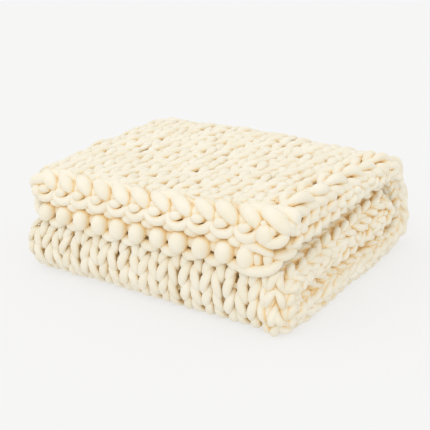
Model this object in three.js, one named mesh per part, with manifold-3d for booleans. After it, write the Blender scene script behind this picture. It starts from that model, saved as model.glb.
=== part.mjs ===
// Chunky hand-knitted throw, halved left to right and then folded in three like a letter.
//
// Millimetres, +Z up. The origin is the middle of the stack's footprint, on the surface it lies on.
// +X runs along the front fold towards the open selvages, +Y towards the back fold.
//
// Each leaf is two plies of knitting, joined by a hairpin fold at the left and open at the right.
// From the floor: bottom leaf, middle leaf, top leaf. The front fold joins bottom and middle, and
// the back fold joins bottom and top, so the middle leaf's bound-off end lies inside the back fold.

import * as THREE from 'three';
import { mergeVertices } from 'three/addons/utils/BufferGeometryUtils.js';
import Module from 'manifold-3d';

// Driving dimensions
const WIDTH = 508;
const DEPTH = 392;
const HEIGHT = 180;
const LEAF = 46; // a pressed leaf of two plies
const PLY_GAP = 0.6; // between neighbouring solids
const LEAF_GAP = 2; // between the bottom and middle leaves
const EDGE = 24; // depth of a side fold or a selvage along X
const INNER_END_HEIGHT = 82; // the bound-off end is unpressed and stands taller than a leaf
const INNER_END_INSET = 14; // from the back fold's centre line
const EDGE_ROLL = 42; // across a rolled cast-on edge
const EDGE_ROLL_INSET = 4; // of the upper cast-on edge, behind the front fold
const EDGE_ROLL_ENDS = 0.55; // how thick a roll's ends are, as a share of its middle
const LOWER_LEAF_SLOPE = 34; // drop of the top leaf's lower ply from back to front

// Worked out
const PLY = (LEAF - PLY_GAP) / 2;
const RIGHT = WIDTH / 2;
const BACK = DEPTH / 2;
const FRONT_RADIUS = LEAF + LEAF_GAP / 2;
const BACK_RADIUS = HEIGHT / 2;
const FRONT_CENTRE = new THREE.Vector2(-BACK + FRONT_RADIUS, FRONT_RADIUS);
const BACK_CENTRE = new THREE.Vector2(BACK - BACK_RADIUS, BACK_RADIUS);
const MIDDLE_BASE = LEAF + LEAF_GAP;
const MIDDLE_END = BACK_CENTRE.x - INNER_END_INSET;
const PLY_LEFT = -RIGHT + EDGE;
const PLY_RIGHT = RIGHT - EDGE;

// The back fold opens at two creases, a quarter of pi times the middle radius out from its centre, so
// that a line through the middle of the fabric keeps its length when the fold is laid flat.
const CREASE = (Math.PI / 4) * (BACK_RADIUS - LEAF / 2);
const LOWER_CREASE = new THREE.Vector2(BACK_CENTRE.x + CREASE, BACK_CENTRE.y - CREASE);
const UPPER_CREASE = new THREE.Vector2(BACK_CENTRE.x + CREASE, BACK_CENTRE.y + CREASE);

const YARN = new THREE.MeshStandardMaterial({ color: 0xefe2c8, roughness: 0.9, metalness: 0 });
const FOLDED_YARN = new THREE.MeshStandardMaterial({ color: 0xe9dabd, roughness: 0.9, metalness: 0 });
const EDGE_YARN = new THREE.MeshStandardMaterial({ color: 0xf4e9d4, roughness: 0.88, metalness: 0 });

const ARC_STEPS = 8;
const SLAB_STEPS = 1;
const UP = 90; // degrees
const HALF_TURN = 180;

// Rails: lists of points (y, z) that a strip of fabric follows

function line(from, to, steps = SLAB_STEPS) {
  return Array.from({ length: steps + 1 }, (_, i) => from.clone().lerp(to, i / steps));
}

function arc(centre, radius, fromDegrees, toDegrees, steps) {
  return Array.from({ length: steps + 1 }, (_, i) => {
    const angle = THREE.MathUtils.degToRad(fromDegrees + ((toDegrees - fromDegrees) * i) / steps);
    return new THREE.Vector2(Math.cos(angle), Math.sin(angle)).multiplyScalar(radius).add(centre);
  });
}

function point(y, z) {
  return new THREE.Vector2(y, z);
}

// Sections: closed convex outlines (x, v), with v running from 0 on the inner rail to 1 on the outer

function flatSection(from, to) {
  return [[from, 0], [to, 0], [to, 1], [from, 1]];
}

function roundedSection(from, to) {
  const rounded = Array.from({ length: ARC_STEPS + 1 }, (_, i) => {
    const angle = (Math.PI * i) / ARC_STEPS - Math.PI / 2;
    return [from + (to - from) * Math.cos(angle), 0.5 + 0.5 * Math.sin(angle)];
  });
  return [[from, 0], ...rounded.slice(1, -1), [from, 1]];
}

// Solids

function loft(rings) {
  const size = rings[0].length;
  const positions = rings.flat().flatMap((p) => [p.x, p.y, p.z]);
  const faces = [];
  for (let r = 0; r + 1 < rings.length; r += 1) {
    for (let i = 0; i < size; i += 1) {
      const a = r * size + i;
      const b = r * size + ((i + 1) % size);
      faces.push(a, b, b + size, a, b + size, a + size);
    }
  }
  const last = (rings.length - 1) * size;
  for (let i = 1; i + 1 < size; i += 1) {
    faces.push(0, i + 1, i, last, last + i, last + i + 1);
  }
  const geometry = new THREE.BufferGeometry();
  geometry.setAttribute('position', new THREE.Float32BufferAttribute(positions, 3));
  geometry.setIndex(faces);
  return signedVolume(geometry) < 0 ? turnedOut(geometry) : geometry;
}

function signedVolume(geometry) {
  const at = (i) => new THREE.Vector3().fromBufferAttribute(geometry.attributes.position, i);
  const index = geometry.index.array;
  let volume = 0;
  for (let i = 0; i < index.length; i += 3) {
    volume += at(index[i]).dot(at(index[i + 1]).cross(at(index[i + 2]))) / 6;
  }
  return volume;
}

function turnedOut(geometry) {
  const index = Array.from(geometry.index.array);
  for (let i = 0; i < index.length; i += 3) {
    [index[i + 1], index[i + 2]] = [index[i + 2], index[i + 1]];
  }
  geometry.setIndex(index);
  return geometry;
}

function strip(section, inner, outer) {
  return loft(inner.map((low, i) => section.map(([x, v]) => {
    const at = low.clone().lerp(outer[i], v);
    return new THREE.Vector3(x, at.x, at.y);
  })));
}

function prism(outline, from, to) {
  return loft([from, to].map((x) => outline.map((p) => new THREE.Vector3(x, p.x, p.y))));
}

function roll(centre, across, from, to) {
  const taper = EDGE / 2;
  const stations = [[from, EDGE_ROLL_ENDS], [from + taper, 1], [to - taper, 1], [to, EDGE_ROLL_ENDS]];
  return loft(stations.map(([x, scale]) => arc(centre, (across * scale) / 2, 0, 360, 2 * ARC_STEPS)
    .slice(0, -1).map((p) => new THREE.Vector3(x, p.x, p.y))));
}

const solids = await Module();
solids.setup();

function asSolid(geometry) {
  const merged = mergeVertices(geometry);
  return new solids.Manifold(new solids.Mesh({
    numProp: 3,
    vertProperties: new Float32Array(merged.attributes.position.array),
    triVerts: new Uint32Array(merged.index.array),
  }));
}

function common(geometry, region) {
  const mesh = asSolid(geometry).intersect(asSolid(region)).getMesh();
  const cut = new THREE.BufferGeometry();
  cut.setAttribute('position', new THREE.Float32BufferAttribute(mesh.vertProperties, 3));
  cut.setIndex(Array.from(mesh.triVerts));
  return cut;
}

const throwBlanket = new THREE.Group();

function add(name, geometry, material) {
  const mesh = new THREE.Mesh(geometry, material);
  mesh.name = name;
  throwBlanket.add(mesh);
}

// One stretch of a leaf: two plies, the hairpin fold at the left and two selvages at the right. Each is
// a pair of rails, and the hairpin fold reaches from the first ply's first rail to the second's last.
function leafPieces(lower, upper, hairpin = [lower[0], upper[1]]) {
  const flat = flatSection(PLY_LEFT + PLY_GAP, PLY_RIGHT - PLY_GAP);
  const selvage = roundedSection(PLY_RIGHT, RIGHT);
  const sideFold = roundedSection(PLY_LEFT, -RIGHT);
  return {
    lower_ply: [strip(flat, lower[0], lower[1]), YARN],
    upper_ply: [strip(flat, upper[0], upper[1]), YARN],
    side_fold: [strip(sideFold, hairpin[0], hairpin[1]), FOLDED_YARN],
    lower_selvage: [strip(selvage, lower[0], lower[1]), EDGE_YARN],
    upper_selvage: [strip(selvage, upper[0], upper[1]), EDGE_YARN],
  };
}

function addLeaf(leaf, pieces) {
  for (const [piece, [geometry, material]] of Object.entries(pieces)) {
    add(`${leaf}_${piece}`, geometry, material);
  }
}

// Bottom leaf, flat on the floor between the two folds

const flatRail = (z, from, to) => line(point(from, z), point(to, z));
const bottomFrom = FRONT_CENTRE.x + PLY_GAP;
const bottomTo = BACK_CENTRE.x - PLY_GAP;
addLeaf('bottom_leaf', leafPieces(
  [flatRail(0, bottomFrom, bottomTo), flatRail(PLY, bottomFrom, bottomTo)],
  [flatRail(PLY + PLY_GAP, bottomFrom, bottomTo), flatRail(LEAF, bottomFrom, bottomTo)],
));

// Front fold: half a turn from the bottom leaf up to the middle leaf

function foldPieces(centre, radius, side) {
  const bend = (r) => arc(centre, r, UP, UP + side * HALF_TURN, 2 * ARC_STEPS);
  const pieces = leafPieces(
    [bend(radius - PLY), bend(radius)],
    [bend(radius - LEAF), bend(radius - PLY - PLY_GAP)],
    [bend(radius - LEAF), bend(radius)],
  );
  const foldName = (piece) => piece.replace('lower', 'outer').replace('upper', 'inner');
  return Object.fromEntries(Object.entries(pieces).map(([piece, made]) => [foldName(piece), made]));
}

addLeaf('front_fold', foldPieces(FRONT_CENTRE, FRONT_RADIUS, 1));

// Middle leaf: pressed at the front fold, thicker towards its bound-off end

const middleFrom = FRONT_CENTRE.x + PLY_GAP;
const middleTo = MIDDLE_END - PLY_GAP;
const endCentre = point(MIDDLE_END, MIDDLE_BASE + INNER_END_HEIGHT / 2);
const slopedRail = (zFrom, zTo) => line(point(middleFrom, zFrom), point(middleTo, zTo));
addLeaf('middle_leaf', leafPieces(
  [
    slopedRail(MIDDLE_BASE, MIDDLE_BASE),
    slopedRail(MIDDLE_BASE + PLY, endCentre.y - PLY_GAP / 2),
  ],
  [
    slopedRail(MIDDLE_BASE + PLY + PLY_GAP, endCentre.y + PLY_GAP / 2),
    slopedRail(MIDDLE_BASE + LEAF, MIDDLE_BASE + INNER_END_HEIGHT),
  ],
));

function bindOffEdge(side) {
  const centre = endCentre.clone().add(point(0, (side * PLY_GAP) / 2));
  const curve = arc(centre, (INNER_END_HEIGHT - PLY_GAP) / 2, side * UP, 0, ARC_STEPS);
  return prism([centre, ...curve], -RIGHT + EDGE / 2, RIGHT - EDGE / 2);
}

add('middle_leaf_lower_bind_off_edge', bindOffEdge(-1), EDGE_YARN);
add('middle_leaf_upper_bind_off_edge', bindOffEdge(1), EDGE_YARN);

// Back fold: half a turn from the bottom leaf up to the top leaf, parted at its two creases. Outside
// each crease the fabric is relieved by a right-angled notch, which closes as the fold is laid flat.

function backRegions() {
  const half = PLY_GAP / 2;
  const far = DEPTH;
  const below = (d) => point(LOWER_CREASE.x + d, LOWER_CREASE.y + d);
  const above = (d) => point(UPPER_CREASE.x + d, UPPER_CREASE.y - d);
  const middle = [
    point(BACK_CENTRE.x + PLY_GAP, BACK_CENTRE.y),
    below(half), point(far, below(half).y), point(far, above(half).y), above(half),
  ];
  const start = [
    point(BACK_CENTRE.x, BACK_CENTRE.y - PLY_GAP), point(BACK_CENTRE.x, -far),
    point(below(-half).x, -far), below(-half),
  ];
  const end = start.map((p) => point(p.x, HEIGHT - p.y));
  return { start, middle, end };
}

const regions = backRegions();
const backPieces = foldPieces(BACK_CENTRE, BACK_RADIUS, -1);

function addBackPart(leaf, outline) {
  const region = prism(outline, -WIDTH, WIDTH);
  const parts = Object.entries(backPieces).map(([piece, [geometry, material]]) => (
    [piece, [common(geometry, region), material]]));
  addLeaf(leaf, Object.fromEntries(parts));
}

addBackPart('back_fold_start', regions.start);
addBackPart('back_fold', regions.middle);
addBackPart('back_fold_end', regions.end);

// Top leaf: the upper ply lies level, and the lower ply drops towards the front, where the cast-on
// edges of both plies are rolled thick

const upperRollCentre = point(-BACK + EDGE_ROLL_INSET + EDGE_ROLL / 2, HEIGHT - EDGE_ROLL / 2);
const lowerRollTop = HEIGHT - EDGE_ROLL - PLY_GAP;
const lowerRoll = lowerRollTop - MIDDLE_BASE - LEAF - PLY_GAP;
const lowerRollCentre = point(-BACK + lowerRoll / 2, lowerRollTop - lowerRoll / 2);
const topFrom = BACK_CENTRE.x - PLY_GAP;
const levelRail = (z) => line(point(topFrom, z), point(upperRollCentre.x + EDGE_ROLL / 2 + PLY_GAP, z));
const droppedRail = (z) => line(
  point(topFrom, z),
  point(lowerRollCentre.x + lowerRoll / 2 + PLY_GAP, z - LOWER_LEAF_SLOPE),
);
const underside = HEIGHT - LEAF;
const frontOfSideFold = -BACK + EDGE_ROLL_INSET;
addLeaf('top_leaf', leafPieces(
  [droppedRail(underside), droppedRail(underside + PLY)],
  [levelRail(HEIGHT - PLY), levelRail(HEIGHT)],
  [
    line(point(topFrom, underside), point(frontOfSideFold, MIDDLE_BASE + LEAF + PLY_GAP)),
    line(point(topFrom, HEIGHT), point(frontOfSideFold, HEIGHT)),
  ],
));
const rollLeft = PLY_LEFT + PLY_GAP;
const rollRight = RIGHT - EDGE / 2;
add('top_leaf_upper_cast_on_edge', roll(upperRollCentre, EDGE_ROLL, rollLeft, rollRight), EDGE_YARN);
add('top_leaf_lower_cast_on_edge', roll(lowerRollCentre, lowerRoll, rollLeft, rollRight), EDGE_YARN);

export default throwBlanket;
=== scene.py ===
"""A chunky hand-knitted throw, halved left to right and folded in three, as a stack of knitted leaves.

Every strand is stuffed cotton jersey tube yarn. The knitting is made flat first and then wrapped round
the folded stack: cloth space is X across the stitches, Y along the rows and Z out of the knit face.
The cast-on and bind-off edges are laid strand by strand, straight in place.
"""

import math

import bpy
import numpy as np
from mathutils import Matrix, Vector


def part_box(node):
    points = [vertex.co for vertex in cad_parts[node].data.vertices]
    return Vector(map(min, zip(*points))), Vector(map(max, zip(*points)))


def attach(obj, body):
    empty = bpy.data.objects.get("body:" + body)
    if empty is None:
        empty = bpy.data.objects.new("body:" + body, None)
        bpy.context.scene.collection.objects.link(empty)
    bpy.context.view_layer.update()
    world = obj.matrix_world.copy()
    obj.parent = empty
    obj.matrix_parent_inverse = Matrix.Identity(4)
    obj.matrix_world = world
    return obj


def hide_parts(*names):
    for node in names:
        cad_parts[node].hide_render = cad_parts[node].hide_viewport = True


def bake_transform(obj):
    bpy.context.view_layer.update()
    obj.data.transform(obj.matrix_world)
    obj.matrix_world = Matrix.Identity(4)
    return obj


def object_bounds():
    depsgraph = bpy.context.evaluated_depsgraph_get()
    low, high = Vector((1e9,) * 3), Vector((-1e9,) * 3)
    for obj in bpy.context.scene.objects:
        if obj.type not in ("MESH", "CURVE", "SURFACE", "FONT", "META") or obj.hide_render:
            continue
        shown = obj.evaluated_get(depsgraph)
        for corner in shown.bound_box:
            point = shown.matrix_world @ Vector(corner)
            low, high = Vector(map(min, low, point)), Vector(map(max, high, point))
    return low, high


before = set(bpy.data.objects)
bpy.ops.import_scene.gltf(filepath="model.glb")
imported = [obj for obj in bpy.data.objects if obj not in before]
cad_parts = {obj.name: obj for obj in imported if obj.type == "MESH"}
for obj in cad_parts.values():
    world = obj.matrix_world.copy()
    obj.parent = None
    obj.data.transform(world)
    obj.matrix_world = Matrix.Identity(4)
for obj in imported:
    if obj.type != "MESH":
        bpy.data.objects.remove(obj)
CAD_BOX = [list(corner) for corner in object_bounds()]

# ---------------------------------------------------------------------------------------------------
# Sizes, from the frame

BOX_LOW, BOX_HIGH = (Vector(corner) for corner in CAD_BOX)
LEFT, RIGHT = BOX_LOW.x, BOX_HIGH.x
HEIGHT = BOX_HIGH.z

bottom_low, bottom_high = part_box("bottom_leaf_lower_ply")
fold_low, fold_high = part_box("front_fold_outer_ply")
end_low, end_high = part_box("middle_leaf_lower_bind_off_edge")
upper_edge_low, upper_edge_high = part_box("top_leaf_upper_cast_on_edge")
lower_edge_low, lower_edge_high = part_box("top_leaf_lower_cast_on_edge")

PLY = bottom_high.z - bottom_low.z
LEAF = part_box("bottom_leaf_upper_ply")[1].z
PLY_STEP = LEAF - PLY
FRONT_CENTRE = np.array([fold_high.y, (fold_low.z + fold_high.z) / 2])
FRONT_RADIUS = (fold_high.z - fold_low.z) / 2 - PLY / 2
BACK_CENTRE = np.array([bottom_high.y, HEIGHT / 2])
BACK_RADIUS = HEIGHT / 2 - PLY / 2
end_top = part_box("middle_leaf_upper_bind_off_edge")[1].z

# How far behind its CAD shape's front the middle leaf's end starts to turn
END_INSET = 0.008
END_CENTRE = np.array([end_low.y + END_INSET, (end_low.z + end_top) / 2])
END_RADIUS = (end_high.z - end_low.z) / 2

# Rows of knitting along each stretch, counted from the cast-on, and the rows where stretches meet
CAST_ON_ROW = -1
TOP_ROWS, BACK_ROWS, BOTTOM_ROWS, FRONT_ROWS, MIDDLE_ROWS, END_ROWS = 10, 10, 10, 6, 10, 2
TOP_END = TOP_ROWS
BACK_MIDDLE = TOP_END + BACK_ROWS // 2
BACK_END = TOP_END + BACK_ROWS
BOTTOM_END = BACK_END + BOTTOM_ROWS
FRONT_END = BOTTOM_END + FRONT_ROWS
LAST_ROW = FRONT_END + MIDDLE_ROWS + END_ROWS

# Stitches across one ply, besides the one on the side fold. The last is the selvage, which curls in.
WALES = 12
CURL_RADIUS = 0.0135
CURL_ANGLE = math.radians(90)
SELVAGE_DEPTH = 0.010
FOLD_CENTRE_X = LEFT + LEAF / 2
CURL_START_X = RIGHT - CURL_RADIUS * math.sin(CURL_ANGLE) - SELVAGE_DEPTH
STITCH = (CURL_START_X - FOLD_CENTRE_X + CURL_RADIUS * CURL_ANGLE) / WALES
ROW = 0.0242

# Yarn, in cloth space
YARN_RADIUS = 0.0090
SEED = 7


# ---------------------------------------------------------------------------------------------------
# The folded path of the two plies, as (y, z) points at matching rows

STEPS_PER_ROW = 16
TURN_STEPS = 720
FRONT_SQUARENESS, BACK_SQUARENESS = 4.5, 3.2

# How far the weight of the stack presses the knitting flat, and more so at the middle leaf's inner end
CLOTH_PRESS = 0.68
END_PRESS = 1.5
CLOTH_RAISE = 0.0046

# Rows past this one are tucked under the cast-on edge, and keep only a share of their height
TUCK_ROW, TUCK_SHARE = -0.75, 0.2


def straight(start, end, rows):
    """Evenly spaced points on a line."""
    share = np.linspace(0, 1, rows * STEPS_PER_ROW + 1)[:, None]
    return np.array(start) + share * (np.array(end) - np.array(start))


def turned(centre, radius, start, end, rows, squareness=2.0):
    """Evenly spaced points round a fold. A squareness of 2 is a round fold, and more is a flatter one."""
    angle = np.radians(np.linspace(start, end, TURN_STEPS + 1))
    turn = np.column_stack((np.cos(angle), np.sin(angle)))
    line = np.array(centre) + radius * np.sign(turn) * np.abs(turn) ** (2 / squareness)
    length = np.concatenate(([0], np.cumsum(np.linalg.norm(np.diff(line, axis=0), axis=1))))
    places = np.linspace(0, length[-1], rows * STEPS_PER_ROW + 1)
    return np.column_stack([np.interp(places, length, column) for column in line.T])


def folded_path():
    """Rows, the outer ply's line, the inner ply's line and the cloth's thickness at each."""
    outer_top = HEIGHT - PLY / 2
    front_top = FRONT_CENTRE[1] + FRONT_RADIUS
    outer_end, inner_end = (END_CENTRE[1] + END_RADIUS, END_CENTRE[1] - END_RADIUS)
    lower_edge = (lower_edge_high.y, lower_edge_high.z - PLY / 2)
    front, back = FRONT_CENTRE[0], BACK_CENTRE[0]
    outer_foot, inner_foot = PLY / 2, PLY / 2 + PLY_STEP
    stretches = [
        (TOP_ROWS, 1, 1,
         straight((upper_edge_high.y, outer_top), (back, outer_top), TOP_ROWS),
         straight(lower_edge, (back, outer_top - PLY_STEP), TOP_ROWS)),
        (BACK_ROWS, 1, 1,
         turned(BACK_CENTRE, BACK_RADIUS, 90, -90, BACK_ROWS, BACK_SQUARENESS),
         turned(BACK_CENTRE, BACK_RADIUS - PLY_STEP, 90, -90, BACK_ROWS, BACK_SQUARENESS)),
        (BOTTOM_ROWS, 1, 1,
         straight((back, outer_foot), (front, outer_foot), BOTTOM_ROWS),
         straight((back, inner_foot), (front, inner_foot), BOTTOM_ROWS)),
        (FRONT_ROWS, 1, 1,
         turned(FRONT_CENTRE, FRONT_RADIUS, -90, -270, FRONT_ROWS, FRONT_SQUARENESS),
         turned(FRONT_CENTRE, FRONT_RADIUS - PLY_STEP, -90, -270, FRONT_ROWS, FRONT_SQUARENESS)),
        (MIDDLE_ROWS, 1, END_PRESS,
         straight((front, front_top), (END_CENTRE[0], outer_end), MIDDLE_ROWS),
         straight((front, front_top - PLY_STEP), (END_CENTRE[0], inner_end), MIDDLE_ROWS)),
        (END_ROWS, END_PRESS, END_PRESS,
         turned(END_CENTRE, END_RADIUS, 90, 0, END_ROWS),
         turned(END_CENTRE, END_RADIUS, -90, 0, END_ROWS)),
    ]
    rows, outer, inner, press = [], [], [], []
    first = 0
    for count, from_press, to_press, outer_line, inner_line in stretches:
        share = np.linspace(0, 1, len(outer_line))
        rows.append(first + count * share)
        outer.append(outer_line)
        inner.append(inner_line)
        press.append(from_press + (to_press - from_press) * share)
        first += count
    return np.concatenate(rows), np.vstack(outer), np.vstack(inner), np.concatenate(press)


PATH_ROWS, OUTER_LINE, INNER_LINE, PATH_PRESS = folded_path()


def along(values, rows):
    """Values of the path at any row, carried on in a straight line before the first row."""
    columns = values.reshape(len(PATH_ROWS), -1)
    found = np.column_stack([np.interp(rows, PATH_ROWS, column) for column in columns.T])
    slope = columns[STEPS_PER_ROW] - columns[0]
    return found + np.minimum(rows, 0)[:, None] * slope


def lay_on_stack(cloth):
    """Wraps points of cloth space (n, 3) round the folded stack.

    Stitch 0 lies on the side fold, a hairpin from the outer ply to the inner one. The other stitches lie
    flat, outer ply at positive X and inner ply at negative X, and both selvages curl in at the right.
    """
    across, rows, out = cloth[:, 0], cloth[:, 1] / ROW, cloth[:, 2]
    rows = np.where(rows < TUCK_ROW, TUCK_ROW + TUCK_SHARE * (rows - TUCK_ROW), rows)
    outer, inner = along(OUTER_LINE, rows), along(INNER_LINE, rows)
    press = along(PATH_PRESS, rows)[:, 0] * CLOTH_PRESS
    gap = np.maximum(np.linalg.norm(outer - inner, axis=1), 1e-5)
    up = (outer - inner) / gap[:, None]
    side = np.where(across < 0, -1, 1)
    reach = np.abs(across)

    fold_angle = np.clip(reach / (STITCH / 2), 0, 1) * math.pi / 2
    curl_start = CURL_START_X - FOLD_CENTRE_X + STITCH / 2
    curl_angle = np.maximum(reach - curl_start, 0) / CURL_RADIUS
    on_fold = reach < STITCH / 2
    flat = np.clip(reach - STITCH / 2, 0, curl_start - STITCH / 2)
    x = FOLD_CENTRE_X + flat + CURL_RADIUS * np.sin(curl_angle)
    x = np.where(on_fold, FOLD_CENTRE_X - PLY_STEP / 2 * np.cos(fold_angle), x)
    level = gap / 2 - CURL_RADIUS * (1 - np.cos(curl_angle))
    level = np.where(on_fold, gap / 2 * np.sin(fold_angle), level)
    out_x = np.where(on_fold, -np.cos(fold_angle), np.sin(curl_angle))
    out_up = np.where(on_fold, np.sin(fold_angle), np.cos(curl_angle))
    proud = out * press + CLOTH_RAISE
    x = x + proud * out_x
    level = side * (level + proud * out_up)
    yz = (outer + inner) / 2 + up * level[:, None]
    return settled(np.column_stack((x, yz)))


# How far the top of each corner stands from level, and how far each side bulges and how high up
CORNER_LIFTS = {"front_left": -0.008, "front_right": 0.001, "back_left": 0.019, "back_right": -0.010}
FOOT_SPREAD = 0.016
FOOT_SWEEP = 0.4
FRONT_SAG = 0.009
BACK_SAG = 0.010
RIGHT_FLARE = 0.010
TOP_WAVE = 0.003
FLOOR_CLEARANCE, FLOOR_PRESS = 0.001, 0.1


def bulge(height, middle, spread):
    """From 0 to 1, how strongly a bulge round a middle height acts at a height, all as shares."""
    return np.exp(-(((height - middle) / spread) ** 2))


def settled(points):
    """The stack's own unevenness: a top that dips and rises, and a foot that spreads where it rests."""
    x = (points[:, 0] - LEFT) / (RIGHT - LEFT)
    y = (points[:, 1] - BOX_LOW.y) / (BOX_HIGH.y - BOX_LOW.y)
    z = np.clip(points[:, 2] / HEIGHT, 0, 1.2)
    lift = CORNER_LIFTS["front_left"] * (1 - x) * (1 - y) + CORNER_LIFTS["front_right"] * x * (1 - y)
    lift += CORNER_LIFTS["back_left"] * (1 - x) * y + CORNER_LIFTS["back_right"] * x * y
    waves = TOP_WAVE * np.sin(7.0 * x + 1.0) * np.sin(5.0 * y + 0.5)
    right, back = np.clip(x, 0, 1), np.clip(y, 0, 1)
    left, front = np.clip(1 - x, 0, 1), np.clip(1 - y, 0, 1)
    low = bulge(z, 0.27, 0.22)
    moved = points.copy()
    moved[:, 0] -= FOOT_SPREAD * low * left**3
    moved[:, 1] -= FOOT_SWEEP * FOOT_SPREAD * low * left**2 * front**3
    moved[:, 1] -= FRONT_SAG * bulge(z, 0.12, 0.30) * front**6
    moved[:, 0] += RIGHT_FLARE * low * right**4 * back**2
    moved[:, 1] += BACK_SAG * bulge(z, 0.38, 0.25) * back**4
    moved[:, 2] += (lift + waves) * z**1.5
    under = moved[:, 2] - FLOOR_CLEARANCE
    moved[:, 2] = np.where(under < 0, FLOOR_CLEARANCE + FLOOR_PRESS * under, moved[:, 2])
    return moved


# ---------------------------------------------------------------------------------------------------
# Geometry Nodes: knitting and loose strands


class Bench:
    """Puts nodes into a tree and wires values into their sockets."""

    def __init__(self, tree):
        self.tree = tree

    def node(self, kind, inputs=(), **settings):
        made = self.tree.nodes.new(kind)
        for name, value in settings.items():
            setattr(made, name, value)
        for key, value in dict(inputs).items():
            socket = made.inputs[key]
            if isinstance(value, bpy.types.NodeSocket):
                self.tree.links.new(value, socket)
            else:
                socket.default_value = value
        return made

    def math(self, operation, *values):
        inputs = dict(enumerate(values))
        return self.node("ShaderNodeMath", inputs, operation=operation).outputs[0]

    def mix(self, factor, first, second, kind="MIX"):
        inputs = {"Factor": factor, 6: first, 7: second}
        made = self.node("ShaderNodeMix", inputs, data_type="RGBA", blend_type=kind)
        return made.outputs[2]


def new_tree(name, kind, inputs, outputs=()):
    """An empty node tree with named sockets, its bench and its input node's sockets."""
    tree = bpy.data.node_groups.new(name, kind)
    for label, socket in inputs:
        tree.interface.new_socket(name=label, in_out="INPUT", socket_type=socket)
    for label, socket in outputs:
        tree.interface.new_socket(name=label, in_out="OUTPUT", socket_type=socket)
    bench = Bench(tree)
    return tree, bench, bench.node("NodeGroupInput").outputs


def finish_tubes(bench, curve, radius, sides, material, lay):
    """Turns curves into yarn, keeping how far along and how far round each point of it is."""
    length = bench.node("GeometryNodeSplineParameter").outputs["Length"]
    marked = bench.node(
        "GeometryNodeStoreNamedAttribute",
        {"Geometry": curve, "Name": "yarn_along", "Value": bench.math("ADD", length, lay)},
        data_type="FLOAT", domain="POINT",
    ).outputs[0]
    ring = bench.node("GeometryNodeCurvePrimitiveCircle", {"Resolution": sides, "Radius": 1.0}).outputs[0]
    place = bench.node("GeometryNodeInputPosition").outputs[0]
    ring = bench.node(
        "GeometryNodeStoreNamedAttribute",
        {"Geometry": ring, "Name": "yarn_round", "Value": place},
        data_type="FLOAT_VECTOR", domain="POINT",
    ).outputs[0]
    tube = bench.node(
        "GeometryNodeCurveToMesh",
        {"Curve": marked, "Profile Curve": ring, "Scale": radius, "Fill Caps": True},
    ).outputs[0]
    smooth = bench.node("GeometryNodeSetShadeSmooth", {"Geometry": tube}).outputs[0]
    real = bench.node("GeometryNodeRealizeInstances", {"Geometry": smooth}).outputs[0]
    painted = bench.node("GeometryNodeSetMaterial", {"Geometry": real, "Material": material}).outputs[0]
    bench.node("NodeGroupOutput", {0: painted})


KNITTING_INPUTS = [
    ("First Row", "NodeSocketFloat"), ("Rows", "NodeSocketInt"),
    ("First Stitch", "NodeSocketFloat"), ("Stitches", "NodeSocketInt"),
    ("Stitch Width", "NodeSocketFloat"), ("Row Height", "NodeSocketFloat"),
    ("Loop Height", "NodeSocketFloat"), ("Loop Lean", "NodeSocketFloat"),
    ("Loop Depth", "NodeSocketFloat"), ("Loop Tilt", "NodeSocketFloat"),
    ("Yarn Radius", "NodeSocketFloat"), ("Pinch", "NodeSocketFloat"),
    ("Unevenness", "NodeSocketFloat"), ("Steps", "NodeSocketInt"), ("Sides", "NodeSocketInt"),
    ("Seed", "NodeSocketFloat"), ("Material", "NodeSocketMaterial"),
]


# How fast the stitches' unevenness changes from one to the next, how suddenly a leg swells, and how far
# the yarn's pattern moves on from row to row
DRIFT_SCALE, SWELL, ROW_SHIFT = 0.93, 1.4, 1.37


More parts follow.
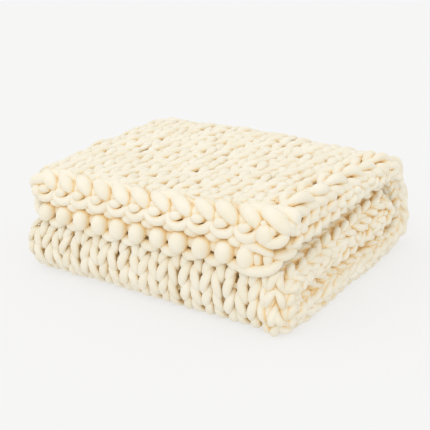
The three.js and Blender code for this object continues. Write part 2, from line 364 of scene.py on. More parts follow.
def knitting_tree():
    """Rows of stocking stitch, lying flat in cloth space."""
    inputs = [("Geometry", "NodeSocketGeometry"), *KNITTING_INPUTS]
    tree, bench, given = new_tree(
        "stocking_stitch", "GeometryNodeTree", inputs, [("Geometry", "NodeSocketGeometry")]
    )
    calc = bench.math
    points = calc("ADD", calc("MULTIPLY", given["Stitches"], given["Steps"]), 1)
    line = bench.node("GeometryNodeCurvePrimitiveLine", {"End": (1, 0, 0)}).outputs[0]
    row = bench.node("GeometryNodeResampleCurve", {"Curve": line, "Count": points}).outputs[0]
    rows = bench.node("GeometryNodeMeshLine", {"Count": given["Rows"], "Offset": (0, 1, 0)}).outputs[0]
    laid = bench.node("GeometryNodeInstanceOnPoints", {"Points": rows, "Instance": row}).outputs[0]
    laid = bench.node("GeometryNodeRealizeInstances", {"Geometry": laid}).outputs[0]

    # Every point's row, and its stitch with the share of that stitch
    index = bench.node("GeometryNodeInputIndex").outputs[0]
    row_number = calc("FLOOR", calc("DIVIDE", calc("ADD", index, 0.5), points))
    row_number = calc("ADD", row_number, given["First Row"])
    step = calc("MODULO", index, points)
    stitch = calc("ADD", calc("DIVIDE", step, given["Steps"]), given["First Stitch"])
    turn = calc("MULTIPLY", calc("ADD", stitch, 0.5), 2 * math.pi)
    double = calc("MULTIPLY", turn, 2)

    spot = bench.node("ShaderNodeCombineXYZ", {"X": stitch, "Y": row_number, "Z": 0.0}).outputs[0]
    noise = bench.node(
        "ShaderNodeTexNoise", {"Vector": spot, "W": given["Seed"], "Scale": DRIFT_SCALE, "Detail": 1.0},
        noise_dimensions="4D",
    ).outputs
    centred = bench.node(
        "ShaderNodeVectorMath", {0: noise["Color"], 1: (0.5, 0.5, 0.5)}, operation="SUBTRACT"
    ).outputs[0]
    uneven = bench.node(
        "ShaderNodeVectorMath", {0: centred, "Scale": given["Unevenness"]}, operation="SCALE"
    ).outputs[0]

    # The loop: up one leg, over the head, down the other leg and through the loop below
    lean = calc("MULTIPLY", given["Loop Lean"], calc("SINE", double))
    x = calc("ADD", calc("MULTIPLY", stitch, given["Stitch Width"]), lean)
    rise = calc("MULTIPLY", calc("MULTIPLY", given["Loop Height"], 0.5), calc("COSINE", turn))
    y = calc("SUBTRACT", calc("MULTIPLY", calc("ADD", row_number, 0.5), given["Row Height"]), rise)
    z = calc("SUBTRACT", calc("MULTIPLY", given["Loop Tilt"], calc("COSINE", turn)),
             calc("MULTIPLY", given["Loop Depth"], calc("COSINE", double)))
    place = bench.node("ShaderNodeCombineXYZ", {"X": x, "Y": y, "Z": z}).outputs[0]
    place = bench.node("ShaderNodeVectorMath", {0: place, 1: uneven}, operation="ADD").outputs[0]
    looped = bench.node("GeometryNodeSetPosition", {"Geometry": laid, "Position": place}).outputs[0]

    # Plump in the middle of each leg, pinched where it dives under its neighbours
    leg = calc("MULTIPLY", calc("SUBTRACT", 1.0, calc("COSINE", double)), 0.5)
    plump = calc("MULTIPLY", calc("POWER", leg, SWELL), calc("SUBTRACT", 1.0, given["Pinch"]))
    fatness = calc("ADD", plump, given["Pinch"])
    fatness = calc("MULTIPLY", fatness, calc("ADD", calc("MULTIPLY", noise["Fac"], 0.5), 0.75))
    radius = calc("MULTIPLY", given["Yarn Radius"], fatness)
    lay = calc("MULTIPLY", row_number, ROW_SHIFT)
    finish_tubes(bench, looped, radius, given["Sides"], given["Material"], lay)
    return tree


def strand_tree():
    """Loose strands of yarn through the points of line meshes, with their own radius at each."""
    tree, bench, given = new_tree(
        "loose_strands", "GeometryNodeTree",
        [("Geometry", "NodeSocketGeometry"), ("Resolution", "NodeSocketInt"),
         ("Sides", "NodeSocketInt"), ("Material", "NodeSocketMaterial")],
        [("Geometry", "NodeSocketGeometry")],
    )
    curve = bench.node("GeometryNodeMeshToCurve", {"Mesh": given["Geometry"]}).outputs[0]
    curve = bench.node("GeometryNodeCurveSplineType", {"Curve": curve}, spline_type="CATMULL_ROM").outputs[0]
    curve = bench.node(
        "GeometryNodeSetSplineResolution", {"Geometry": curve, "Resolution": given["Resolution"]}
    ).outputs[0]
    radius = bench.node(
        "GeometryNodeInputNamedAttribute", {"Name": "strand_radius"}, data_type="FLOAT"
    ).outputs[0]
    finish_tubes(bench, curve, radius, given["Sides"], given["Material"], 0.0)
    return tree


def run_tree(name, base, tree, values):
    """Runs a tree on a base mesh and gives back the result as a plain mesh object."""
    holder = bpy.data.objects.new(name + "_holder", base)
    bpy.context.scene.collection.objects.link(holder)
    modifier = holder.modifiers.new("yarn", "NODES")
    modifier.node_group = tree
    for item in tree.interface.items_tree:
        if item.in_out == "INPUT" and item.name in values:
            modifier[item.identifier] = values[item.name]
    bpy.context.view_layer.update()
    evaluated = holder.evaluated_get(bpy.context.evaluated_depsgraph_get())
    mesh = bpy.data.meshes.new_from_object(evaluated)
    holder.modifiers.remove(modifier)
    bpy.data.objects.remove(holder)
    mesh.name = name
    piece = bpy.data.objects.new(name, mesh)
    bpy.context.scene.collection.objects.link(piece)
    return piece


def points_of(piece):
    """A mesh's points, as an array of (x, y, z) rows."""
    points = np.empty(len(piece.data.vertices) * 3)
    piece.data.vertices.foreach_get("co", points)
    return points.reshape(-1, 3)


def place_points(piece, points):
    """Moves a piece's points to where they belong."""
    piece.data.vertices.foreach_set("co", points.astype(np.float32).ravel())
    piece.data.update()


KNITTING = knitting_tree()
STRANDS = strand_tree()

# Stitches pressed flat and pulled about on the leaves, and standing round and upright on the front fold
FLAT_STITCH = {
    "Loop Height": 1.86 * ROW, "Loop Lean": 0.215 * STITCH, "Loop Depth": 0.0042,
    "Yarn Radius": 0.98 * YARN_RADIUS, "Pinch": 0.66, "Unevenness": 0.021,
}
ROUND_STITCH = {
    "Loop Height": 1.90 * ROW, "Loop Lean": 0.200 * STITCH, "Loop Depth": 0.0085,
    "Yarn Radius": 0.87 * YARN_RADIUS, "Pinch": 0.62, "Unevenness": 0.014,
}


def knit(name, rows, stitches, material, shape):
    """Knits rows (first, last) by stitches (first, last) and wraps them round the stack."""
    values = {
        "First Row": float(rows[0]), "Rows": int(rows[1] - rows[0]),
        "First Stitch": float(stitches[0]), "Stitches": int(stitches[1] - stitches[0]),
        "Stitch Width": STITCH, "Row Height": ROW,
        "Loop Tilt": 0.0030, "Steps": 24, "Sides": 14, "Seed": float(SEED), "Material": material,
    }
    values.update(shape)
    piece = run_tree(name, bpy.data.meshes.new(name + "_base"), KNITTING, values)
    place_points(piece, lay_on_stack(points_of(piece)))
    return piece


def strand(route, radius, bluntness=4.0, points=13):
    """A strand with rounded ends along a route: (x, y, z, radius) rows, closest together at the ends.

    A bluntness of 2 gives the outline of an ellipse, and more keeps the full thickness for longer.
    """
    route = np.array(route, dtype=float)
    length = np.concatenate(([0], np.cumsum(np.linalg.norm(np.diff(route, axis=0), axis=1))))
    turn = np.cos(np.linspace(math.pi, 0, points))
    places = (turn + 1) / 2 * length[-1]
    smooth = np.column_stack([smooth_through(length, column, places) for column in route.T])
    thickness = radius * np.sqrt(np.maximum(1 - np.abs(turn) ** bluntness, 0.01))
    return np.column_stack((smooth, thickness))


def smooth_through(knots, values, places):
    """A smooth curve through values at knots: cubic pieces with the slopes of their neighbours."""
    slopes = np.gradient(values, knots)
    piece = np.clip(np.searchsorted(knots, places, side="right") - 1, 0, len(knots) - 2)
    width = knots[piece + 1] - knots[piece]
    t = (places - knots[piece]) / width
    start = (2 * t**3 - 3 * t**2 + 1) * values[piece] + (t**3 - 2 * t**2 + t) * width * slopes[piece]
    end = (3 * t**2 - 2 * t**3) * values[piece + 1] + (t**3 - t**2) * width * slopes[piece + 1]
    return start + end


def lay_strands(name, strands, material, settle=True):
    """Lays strands, each of (x, y, z, radius) rows, as one piece, and settles it with the stack."""
    rows = np.vstack(strands)
    edges = []
    first = 0
    for one in strands:
        edges += [(first + i, first + i + 1) for i in range(len(one) - 1)]
        first += len(one)
    base = bpy.data.meshes.new(name + "_base")
    base.from_pydata(rows[:, :3].tolist(), edges, [])
    radius = base.attributes.new("strand_radius", "FLOAT", "POINT")
    radius.data.foreach_set("value", rows[:, 3].astype(np.float32))
    piece = run_tree(name, base, STRANDS, {"Resolution": 3, "Sides": 16, "Material": material})
    if settle:
        place_points(piece, settled(points_of(piece)))
    return piece


# ---------------------------------------------------------------------------------------------------
# Materials


def rib_group():
    """Fine lengthwise ribs and rows of the jersey tube, and the soft dents of its filling."""
    tree, bench, given = new_tree(
        "jersey_ribs", "ShaderNodeTree",
        [("Along", "NodeSocketFloat"), ("Round", "NodeSocketVector"), ("Place", "NodeSocketVector"),
         ("Rib Count", "NodeSocketFloat"), ("Row Length", "NodeSocketFloat"),
         ("Dent Size", "NodeSocketFloat"), ("Dent Depth", "NodeSocketFloat")],
        [("Height", "NodeSocketFloat"), ("Groove", "NodeSocketFloat")],
    )
    calc = bench.math
    split = bench.node("ShaderNodeSeparateXYZ", {0: given["Round"]}).outputs
    angle = calc("ARCTAN2", split["Y"], split["X"])
    ribs = calc("COSINE", calc("MULTIPLY", angle, given["Rib Count"]))
    rows = calc("MULTIPLY", calc("DIVIDE", given["Along"], given["Row Length"]), 2 * math.pi)
    slant = calc("ADD", rows, calc("MULTIPLY", ribs, 1.2))
    knit_rows = calc("MULTIPLY", calc("SINE", slant), 0.35)
    fine = calc("MULTIPLY", calc("ADD", ribs, knit_rows), 0.5)
    dents = bench.node(
        "ShaderNodeTexNoise",
        {"Vector": given["Place"], "Scale": calc("DIVIDE", 1.0, given["Dent Size"]), "Detail": 3.0},
    ).outputs["Fac"]
    height = calc("ADD", fine, calc("MULTIPLY", dents, given["Dent Depth"]))
    # How deep in the groove between two ribs each point lies, used as a mask for painted shade in the
    # grooves
    groove = calc("MULTIPLY", calc("SUBTRACT", 1.0, ribs), 0.5)
    bench.node("NodeGroupOutput", {"Height": height, "Groove": groove})
    return tree


def tone_group():
    """The yarn's colour, roughness and glow.

    Shade is painted in: the creases and the rib grooves are mixed towards a warm tan, over the yarn's own
    tones that drift from place to place. The creases also get a painted glow, for the light that soaks
    through the yarn.
    """
    tree, bench, given = new_tree(
        "settled_tone", "ShaderNodeTree",
        [("Crown", "NodeSocketColor"), ("Body", "NodeSocketColor"), ("Painted Shade", "NodeSocketColor"),
         ("Crease", "NodeSocketFloat"), ("Groove", "NodeSocketFloat"), ("Place", "NodeSocketVector"),
         ("Groove Shade Strength", "NodeSocketFloat"), ("Drift Size", "NodeSocketFloat"),
         ("Soaked Light", "NodeSocketColor")],
        [("Colour", "NodeSocketColor"), ("Roughness", "NodeSocketFloat"), ("Glow", "NodeSocketColor")],
    )
    calc = bench.math
    drift = bench.node(
        "ShaderNodeTexNoise",
        {"Vector": given["Place"], "Scale": calc("DIVIDE", 1.0, given["Drift Size"]), "Detail": 2.0},
    ).outputs["Fac"]
    drift = bench.node(
        "ShaderNodeMapRange", {"Value": drift, "From Min": 0.35, "From Max": 0.65}
    ).outputs[0]
    colour = bench.mix(drift, given["Crown"], given["Body"])
    # Painted shade: the crease marks and the rib grooves mix the colour towards the warm crease tan
    deep = calc("POWER", given["Crease"], 1.2)
    shade = calc("ADD", deep, calc("MULTIPLY", given["Groove"], given["Groove Shade Strength"]))
    shade = calc("MINIMUM", shade, 1.0)
    colour = bench.mix(shade, colour, given["Painted Shade"])
    rough = bench.node(
        "ShaderNodeMapRange", {"Value": drift, "To Min": 0.82, "To Max": 0.93}
    ).outputs[0]
    # Painted glow in the creases, for the light that soaks through the yarn
    glow = bench.mix(deep, (0, 0, 0, 1), given["Soaked Light"])
    bench.node("NodeGroupOutput", {"Colour": colour, "Roughness": rough, "Glow": glow})
    return tree


RIBS = rib_group()
TONE = tone_group()


def connect(bench, socket, value):
    """Links an output to a socket, or sets the socket to a colour or a number."""
    if isinstance(value, bpy.types.NodeSocket):
        bench.tree.links.new(value, socket)
    elif isinstance(value, tuple):
        socket.default_value = (*value, 1)
    else:
        socket.default_value = value


def yarn_material(name, crown, body, painted_shade_colour, dent_depth):
    """Cream cotton jersey round a soft filling, with dents of a depth in its surface."""
    material = bpy.data.materials.new(name)
    material.use_nodes = True
    material.node_tree.nodes.clear()
    bench = Bench(material.node_tree)
    place = bench.node("ShaderNodeTexCoord").outputs["Object"]
    along_yarn = bench.node("ShaderNodeAttribute", attribute_name="yarn_along").outputs["Fac"]
    round_yarn = bench.node("ShaderNodeAttribute", attribute_name="yarn_round").outputs["Vector"]
    crease = bench.node("ShaderNodeAttribute", attribute_name="crease").outputs["Fac"]
    ribs = bench.node("ShaderNodeGroup", node_tree=RIBS)
    for label, value in (
        ("Along", along_yarn), ("Round", round_yarn), ("Place", place), ("Rib Count", 30.0),
        ("Row Length", 0.0030), ("Dent Size", 0.0075), ("Dent Depth", dent_depth),
    ):
        connect(bench, ribs.inputs[label], value)
    tone = bench.node("ShaderNodeGroup", node_tree=TONE)
    for label, value in (
        ("Crown", crown), ("Body", body), ("Painted Shade", painted_shade_colour), ("Crease", crease),
        ("Groove", ribs.outputs["Groove"]), ("Place", place), ("Groove Shade Strength", 0.06),
        ("Drift Size", 0.035), ("Soaked Light", SOAKED_LIGHT),
    ):
        connect(bench, tone.inputs[label], value)
    bump = bench.node(
        "ShaderNodeBump", {"Height": ribs.outputs["Height"], "Strength": 0.40, "Distance": 0.00045}
    ).outputs[0]
    # The emission is the painted glow in the creases
    shader = bench.node("ShaderNodeBsdfPrincipled", {
        "Base Color": tone.outputs["Colour"], "Roughness": tone.outputs["Roughness"], "Normal": bump,
        "Emission Color": tone.outputs["Glow"], "Emission Strength": 0.085,
        "Sheen Weight": 0.25, "Sheen Roughness": 0.5, "Specular IOR Level": 0.25,
    })
    bench.node("ShaderNodeOutputMaterial", {"Surface": shader.outputs[0]})
    return material


# The painted shade of the creases, a warm tan, and the colour of the painted glow there for the light that
# soaks through the yarn into them
PAINTED_CREASE_SHADE = (0.84, 0.66, 0.38)
SOAKED_LIGHT = (1.0, 0.70, 0.32)
KNITTED = yarn_material("knitted cream jersey yarn", (0.87, 0.82, 0.69), (0.84, 0.775, 0.62), PAINTED_CREASE_SHADE, 2.4)
FOLDED = yarn_material("folded cream jersey yarn", (0.86, 0.81, 0.68), (0.83, 0.765, 0.61), PAINTED_CREASE_SHADE, 2.6)
EDGE = yarn_material("edge cream jersey yarn", (0.88, 0.83, 0.70), (0.85, 0.785, 0.63), PAINTED_CREASE_SHADE, 2.8)


# ---------------------------------------------------------------------------------------------------
# The edges, strand by strand. Each route is a list of (across, back, up): across in stitch widths from
# the stitch's middle, back from the edge's front and up from its underside, in metres.

RANDOM = np.random.default_rng(SEED)

# Upper cast-on edge: a thick lobe over each stitch, the bowl that hangs under it and a bead between
LOBE = [(-0.80, 0.034, 0.0260), (-0.32, 0.020, 0.0280), (0.20, 0.008, 0.0235), (0.54, 0.006, 0.0125)]
BOWL = [(-0.58, 0.010, 0.014), (-0.42, 0.002, 0.004), (-0.08, -0.002, -0.002),
        (0.26, 0.001, 0.001), (0.46, 0.008, 0.012)]
BEAD = [(-0.40, 0.007, 0.012), (-0.12, 0.000, 0.0125), (0.18, 0.004, 0.015)]
FILLER = [(-0.60, 0.016, 0.019), (0.0, 0.014, 0.014), (0.60, 0.016, 0.019)]
UNDERLAY = [(-0.66, 0.030, 0.0270), (0.0, 0.027, 0.0280), (0.66, 0.030, 0.0270)]

# Lower cast-on edge: an upright pearl on each stitch, a strand behind, one above and one below
PEARL = [(-0.06, 0.008, -0.001), (0.0, 0.003, 0.014), (0.06, 0.010, 0.030)]
BETWEEN = [(0.10, 0.020, 0.018), (0.50, 0.015, 0.016), (0.90, 0.020, 0.018)]
OVER = [(0.04, 0.018, 0.031), (0.44, 0.009, 0.034), (0.88, 0.015, 0.029)]
UNDER = [(0.02, 0.010, -0.001), (0.50, 0.006, -0.003), (0.98, 0.010, -0.001)]
BEHIND = [(-0.55, 0.034, 0.028), (0.0, 0.030, 0.024), (0.55, 0.034, 0.028)]

# Bind-off edges: a strand that slants over each stitch. Its route is measured from the ply's line, this
# many rows before the last, and up is away from the other ply.
CHAIN = [(-0.62, -0.006, -0.004), (0.0, 0.004, 0.004), (0.62, 0.002, -0.002)]
CHAIN_RADIUS, CHAIN_BLUNTNESS = 0.0095, 3
CHAIN_INSET = 0.9

# What each stitch of a cast-on edge holds, as (route, radius, bluntness)
UPPER_LOOPS = [(LOBE, 0.0116, 2.8), (BOWL, 0.0078, 6), (BEAD, 0.0076, 2.5), (FILLER, 0.0110, 6),
               (UNDERLAY, 0.0124, 5)]
LOWER_LOOPS = [(PEARL, 0.0143, 2.3), (BETWEEN, 0.0105, 5), (OVER, 0.0090, 2.5), (UNDER, 0.0080, 3),
               (BEHIND, 0.0125, 6)]

# Single strands at the ends of the cast-on edges, as (end, route, radius, bluntness). Here across is in
# metres from that end of the throw.
UPPER_SINGLES = [
    # The last lobe, the knot that it ends in and the knob on that knot
    (RIGHT, [(-0.060, 0.034, 0.029), (-0.032, 0.016, 0.0295), (-0.013, 0.010, 0.024),
             (-0.007, 0.014, 0.008)], 0.0118, 2.4),
    (RIGHT, [(-0.032, 0.002, -0.004), (-0.032, -0.002, 0.009), (-0.032, 0.002, 0.022)], 0.0132, 2),
    (RIGHT, [(-0.038, 0.003, 0.018), (-0.033, 0.003, 0.025)], 0.0062, 2),
    # The first strand, curled down round a ball
    (LEFT, [(0.056, 0.014, 0.027), (0.026, 0.006, 0.027), (0.007, 0.010, 0.018), (0.002, 0.018, 0.002),
            (0.010, 0.020, -0.016)], 0.0102, 4),
    (LEFT, [(0.024, 0.006, -0.003), (0.023, 0.001, 0.007), (0.024, 0.006, 0.017)], 0.0118, 2),
]
LOWER_SINGLES = [
    # A bar, a loop over it and the tail that runs back from them
    (RIGHT, [(-0.084, 0.003, -0.002), (-0.052, -0.001, -0.002), (-0.026, 0.002, 0.004),
             (-0.012, 0.012, 0.016)], 0.0080, 4),
    (RIGHT, [(-0.076, 0.008, 0.018), (-0.064, 0.004, 0.029), (-0.040, 0.003, 0.031),
             (-0.022, 0.006, 0.022)], 0.0076, 4),
    (RIGHT, [(-0.036, 0.012, 0.018), (-0.016, 0.018, 0.020), (-0.003, 0.034, 0.026)], 0.0085, 3),
    # Upright rungs between the bar and the loop
    (RIGHT, [(-0.062, 0.006, 0.002), (-0.062, 0.002, 0.024)], 0.0068, 4),
    (RIGHT, [(-0.046, 0.006, 0.003), (-0.046, 0.002, 0.024)], 0.0068, 4),
    (RIGHT, [(-0.030, 0.006, 0.005), (-0.030, 0.002, 0.024)], 0.0068, 4),
    # The turn at the side fold
    (LEFT, [(0.020, 0.018, 0.002), (0.006, 0.020, 0.018), (0.006, 0.030, 0.036)], 0.0110, 4),
]


def stitch_x(stitch):
    """The middle of a stitch of either ply."""
    return FOLD_CENTRE_X + (stitch - 0.5) * STITCH


def routed(route, x, corner, shake):
    """A route's points in place on the stitch at x, each moved at random by up to shake."""
    points = np.array([(x + across * STITCH, corner.y + back, corner.z + up) for across, back, up in route])
    return points + RANDOM.uniform(-shake, shake, points.shape)


def cast_on_edge(name, corner, stitches, loops, sizes, shake, singles):
    """A cast-on edge from its low corner: loops on each stitch, of uneven sizes, and its end strands."""
    strands = []
    for stitch in stitches:
        for route, radius, bluntness in loops:
            size = radius * RANDOM.uniform(*sizes)
            strands.append(strand(routed(route, stitch_x(stitch), corner, shake), size, bluntness))
    for end, route, radius, bluntness in singles:
        strands.append(strand(np.add(route, (end, corner.y, corner.z)), radius, bluntness))
    return lay_strands(name, strands, EDGE)


def bind_off_edge(name, line, sign):
    """A chain of slanting strands over the last row of a ply of the middle leaf."""
    y, z = along(line, np.array([LAST_ROW - CHAIN_INSET]))[0]
    strands = []
    for stitch in range(1, WALES + 1):
        x = stitch_x(stitch)
        route = [(x + across * STITCH, y + back, z + sign * up) for across, back, up in CHAIN]
        strands.append(strand(route, CHAIN_RADIUS, CHAIN_BLUNTNESS))
    return lay_strands(name, strands, EDGE)


# ---------------------------------------------------------------------------------------------------
# The stretches of the throw: name, rows, what it moves with, the CAD stretches that it stands for, the
# shape of its stitches, and whether its outer edge stitches are slipped

BACK_START = (0, BACK_CENTRE[0], PLY)
BACK_PEAK = (0, BACK_CENTRE[0] + 0.75 * HEIGHT / 2, BACK_CENTRE[1])
BACK_FINISH = (0, BACK_CENTRE[0], HEIGHT - PLY)
UPPER_BEND = ("back_fold", "top_leaf", BACK_PEAK, BACK_FINISH)
LOWER_BEND = ("lower_stack", "back_fold", BACK_START, BACK_PEAK)

STRETCHES = [
    ("top_leaf", (CAST_ON_ROW, TOP_END), "top_leaf", ["top_leaf"], FLAT_STITCH, True),
    ("back_fold_upper", (TOP_END, BACK_MIDDLE), UPPER_BEND, ["back_fold_end", "back_fold"],
     FLAT_STITCH, True),
    ("back_fold_lower", (BACK_MIDDLE, BACK_END), LOWER_BEND, ["back_fold_start"], FLAT_STITCH, True),
    ("bottom_leaf", (BACK_END, BOTTOM_END), "lower_stack", ["bottom_leaf"], FLAT_STITCH, False),
    ("front_fold", (BOTTOM_END, FRONT_END), "lower_stack", ["front_fold"], ROUND_STITCH, False),
    ("middle_leaf", (FRONT_END, LAST_ROW), "lower_stack", ["middle_leaf"], FLAT_STITCH, False),
]

# On the leaves the CAD names plies by height: True where the knit face's outer ply is the upper one
LEAVES = {"top_leaf": True, "bottom_leaf": False, "middle_leaf": True}


def ply_name(stretch, outer):
    """What the frame calls the outer or inner ply of a stretch."""
    if stretch in LEAVES:
        return "upper" if LEAVES[stretch] == outer else "lower"
    return "outer" if outer else "inner"


# Pieces that stay with the lower stack, and pieces that open with the top leaf
RESTING, OPENING = [], []


def settle_piece(piece, moves_with, nodes):
    """Files a piece with the resting or opening ones, hides the CAD parts that it stands for and ties it to
    its body; a piece between two bodies is only baked in place.
    """
    (RESTING if moves_with == "lower_stack" else OPENING).append(piece)
    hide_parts(*nodes)
    if isinstance(moves_with, str):
        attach(piece, moves_with)
    else:
        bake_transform(piece)


def knitted_stretch(stretch, rows, moves_with, sources, shape, slipped):
    """The plies, the side fold and the selvages of one stretch."""
    last = WALES - 0.5
    side = knit(f"{stretch}_side_fold_knitting", rows, (-0.5, 0.5), FOLDED, shape)
    settle_piece(side, moves_with, [f"{source}_side_fold" for source in sources])
    for outer, stitches in ((True, (0.5, last)), (False, (-last, -0.5))):
        name = ply_name(stretch, outer)
        plies = [f"{source}_{ply_name(source, outer)}_ply" for source in sources]
        edges = [f"{source}_{ply_name(source, outer)}_selvage" for source in sources]
        ply = knit(f"{stretch}_{name}_knitting", rows, stitches, KNITTED, shape)
        settle_piece(ply, moves_with, plies)
        edge = selvage(f"{stretch}_{name}_edge_stitches", rows, outer, slipped and outer)
        settle_piece(edge, moves_with, edges)


# The selvages, in cloth space: (stitches, rows, out) and radius of the strands that one edge stitch
# shows. A slipped stitch spans two rows, and a plain one spans a row. Under them lie the turns of the
# yarn from row to row, and the padding that the curled edge hides.
SLIPPED_STITCH = [
    ([(11.80, -0.25, 0.001), (11.64, 0.60, 0.0120), (11.56, 1.60, 0.001)], 0.0080),
    ([(12.00, -0.25, 0.003), (12.10, 0.60, 0.0150), (12.22, 1.65, 0.006)], 0.0082),
]
PLAIN_STITCH = [
    ([(11.74, -0.40, 0.002), (11.66, 0.35, 0.0095), (11.58, 1.20, 0.002)], 0.0066),
    ([(11.84, -0.35, 0.003), (11.98, 0.40, 0.0120), (12.12, 1.10, 0.004)], 0.0064),
    ([(12.26, -0.35, 0.003), (12.16, 0.35, 0.0110), (12.04, 1.05, 0.004)], 0.0060),
    ([(12.24, -0.15, 0.002), (12.38, 0.55, 0.0090), (12.50, 1.25, 0.002)], 0.0060),
]
TURN = [(12.62, -0.30, 0.001), (12.56, 0.30, 0.0055), (12.44, 0.95, 0.001)]
PADDING = [
    [(11.84, -0.40, -0.004), (11.90, 0.35, -0.001), (11.92, 1.20, -0.004)],
    [(12.18, -0.35, -0.005), (12.28, 0.35, -0.002), (12.40, 1.15, -0.005)],
]


def on_cloth(route, row, outer, shake):
    """A route in stitches and rows from a row, placed on the outer or inner ply of the stack."""
    side = 1 if outer else -1
    cloth = np.array([(side * stitch * STITCH, (row + rows) * ROW, out) for stitch, rows, out in route])
    return lay_on_stack(cloth + RANDOM.uniform(-shake, shake, cloth.shape))


def selvage(name, rows, outer, slipped):
    """The edge stitches along a ply, over the turns of the yarn from row to row."""
    strands = []
    stitch, step = (SLIPPED_STITCH, 2) if slipped else (PLAIN_STITCH, 1)
    for row in range(math.ceil(rows[0] / step) * step, rows[1], step):
        for route, radius in stitch:
            size = radius * RANDOM.uniform(0.92, 1.12)
            strands.append(strand(on_cloth(route, row, outer, 0.0024), size, 1.6))
    for row in range(*rows):
        strands.append(strand(on_cloth(TURN, row, outer, 0.0030), 0.0062, 1.7))
        strands += [strand(on_cloth(route, row, outer, 0.0015), 0.0090, 3.0) for route in PADDING]
    return lay_strands(name, strands, EDGE, settle=False)


for stretch_row in STRETCHES:
    knitted_stretch(*stretch_row)

upper_edge = cast_on_edge("upper_cast_on_edge", upper_edge_low, range(1, WALES + 1), UPPER_LOOPS,
                          (0.94, 1.07), 0.0012, UPPER_SINGLES)
settle_piece(upper_edge, "top_leaf", ["top_leaf_upper_cast_on_edge"])
lower_edge = cast_on_edge("lower_cast_on_edge", lower_edge_low, range(1, WALES), LOWER_LOOPS,
                          (0.93, 1.07), 0.0013, LOWER_SINGLES)
settle_piece(lower_edge, "top_leaf", ["top_leaf_lower_cast_on_edge"])
for side, line, sign in (("upper", OUTER_LINE, 1), ("lower", INNER_LINE, -1)):
    bound_edge = bind_off_edge(f"{side}_bind_off_edge", line, sign)
    settle_piece(bound_edge, "lower_stack", [f"middle_leaf_{side}_bind_off_edge"])


# ---------------------------------------------------------------------------------------------------
# Creases, as a mask for painted shade and painted glow

# The grid's cells and the empty ones round the pieces
CELL, MARGIN = 0.004, 8
# How far off the yarn the space is looked at, and how often the grid is blurred for that look
NEAR_REACH, NEAR_BLURS = 0.008, 2
WIDE_REACH, WIDE_BLURS = 0.016, 5
# The crowding at which a crease starts and is deepest, and how much pieces that move away count
CREASE_LOW, CREASE_HIGH = 0.30, 1.00
NEIGHBOUR_WEIGHT = 0.35


def blurred(crowd, times):
    """Spreads each cell's value over its neighbours."""
    for _ in range(times):
        for axis in range(3):
            crowd = (np.roll(crowd, 1, axis) + 2 * crowd + np.roll(crowd, -1, axis)) / 4
    return crowd


def between_cells(crowd, places):
    """Values of the grid at places in cells, mixed from the eight cells around each."""
    places = np.clip(places, 0, np.array(crowd.shape) - 1.001)
    base = places.astype(int)
    share = places - base
    total = np.zeros(len(places))
    for corner in np.ndindex(2, 2, 2):
        weight = np.prod(np.where(corner, share, 1 - share), axis=1)
        total += weight * crowd[tuple((base + corner).T)]
    return total


def mark_creases(pieces, neighbours):
    """Marks every point from 0 to 1 by how much yarn crowds the space just off the yarn's surface.

    Neighbours are pieces that move away from these, so they crowd them only a little.
    """
    places = [points_of(piece) for piece in pieces]
    own, other = np.vstack(places), np.vstack([points_of(piece) for piece in neighbours])
    low = np.minimum(own.min(axis=0), other.min(axis=0)) - MARGIN * CELL
    high = np.maximum(own.max(axis=0), other.max(axis=0))
    crowd = np.zeros(np.ceil((high - low) / CELL).astype(int) + MARGIN)
    crowd[tuple(((other - low) / CELL).astype(int).T)] = NEIGHBOUR_WEIGHT
    crowd[tuple(((own - low) / CELL).astype(int).T)] = 1
    near, wide = blurred(crowd, NEAR_BLURS), blurred(crowd, WIDE_BLURS)
    for piece, points in zip(pieces, places):
        outward = np.empty(len(points) * 3)
        piece.data.vertex_normals.foreach_get("vector", outward)
        outward = outward.reshape(-1, 3)
        found = between_cells(near, (points + NEAR_REACH * outward - low) / CELL - 0.5)
        found += between_cells(wide, (points + WIDE_REACH * outward - low) / CELL - 0.5)
        # These marks are where the yarn's material paints shade and glow into its colour
        marks = piece.data.attributes.new("crease", "FLOAT", "POINT")
        crease = np.clip((found - CREASE_LOW) / (CREASE_HIGH - CREASE_LOW), 0, 1)
        marks.data.foreach_set("value", crease.astype(np.float32))


mark_creases(RESTING, OPENING)
mark_creases(OPENING, RESTING)


# ---------------------------------------------------------------------------------------------------
# Studio

SKY_STRENGTH = 0.925
SUN_STRENGTH = 0.80
SUN_SPREAD = 110
SUN_TOWARDS = (-0.10, 0.60, -0.90)
FLOOR_SIZE = 60
FLOOR_GREY = 0.28
FLOOR_LIGHT = 0.61


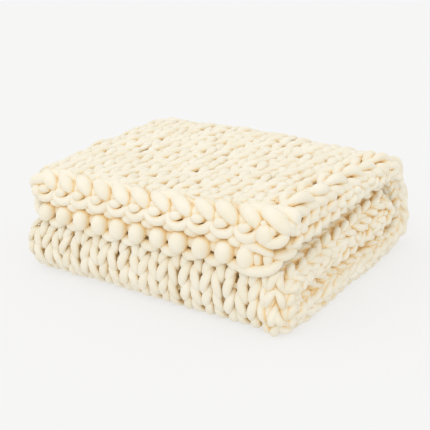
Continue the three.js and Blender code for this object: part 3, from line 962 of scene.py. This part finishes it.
def studio():
    """A wide pale floor lit from below, under an even sky, with one very soft lamp from in front."""
    bpy.ops.mesh.primitive_plane_add(size=FLOOR_SIZE)
    floor = bpy.context.object
    floor.name = "studio_floor"
    paint = bpy.data.materials.new("studio white")
    paint.use_nodes = True
    floor_shader = paint.node_tree.nodes["Principled BSDF"].inputs
    floor_shader["Base Color"].default_value = (FLOOR_GREY, FLOOR_GREY, FLOOR_GREY, 1)
    floor_shader["Emission Color"].default_value = (1.0, 0.995, 0.99, 1)
    floor_shader["Emission Strength"].default_value = FLOOR_LIGHT
    floor_shader["Roughness"].default_value = 1.0
    floor_shader["Specular IOR Level"].default_value = 0.0
    floor.data.materials.append(paint)
    world = bpy.data.worlds.new("studio")
    bpy.context.scene.world = world
    world.use_nodes = True
    sky = world.node_tree.nodes["Background"].inputs
    sky["Color"].default_value = (0.99, 0.995, 1.0, 1)
    sky["Strength"].default_value = SKY_STRENGTH
    lamp = bpy.data.lights.new("soft_key", "SUN")
    lamp.energy = SUN_STRENGTH
    lamp.angle = math.radians(SUN_SPREAD)
    lamp.color = (1.0, 0.985, 0.96)
    light = bpy.data.objects.new("soft_key", lamp)
    light.rotation_euler = Vector(SUN_TOWARDS).to_track_quat("-Z", "Y").to_euler()
    bpy.context.scene.collection.objects.link(light)


# Camera, from the middle of the front edge
CAMERA_PLACE = (0.746, -0.782, 0.532)
CAMERA_AIM = (-0.5730, 0.7411, -0.3496)
CAMERA_ROLL = -3.7
CAMERA_LENS = 64.1


def camera():
    """The camera that the scene is seen through, with plain colour handling."""
    lens = bpy.data.cameras.new("camera")
    lens.lens = CAMERA_LENS
    eye = bpy.data.objects.new("camera", lens)
    eye.location = Vector(CAMERA_PLACE) + Vector((0, BOX_LOW.y, 0))
    turn = Vector(CAMERA_AIM).to_track_quat("-Z", "Y").to_matrix().to_4x4()
    eye.rotation_euler = (turn @ Matrix.Rotation(math.radians(CAMERA_ROLL), 4, "Z")).to_euler()
    bpy.context.scene.collection.objects.link(eye)
    bpy.context.scene.camera = eye
    bpy.context.scene.view_settings.view_transform = "Standard"


studio()
camera()
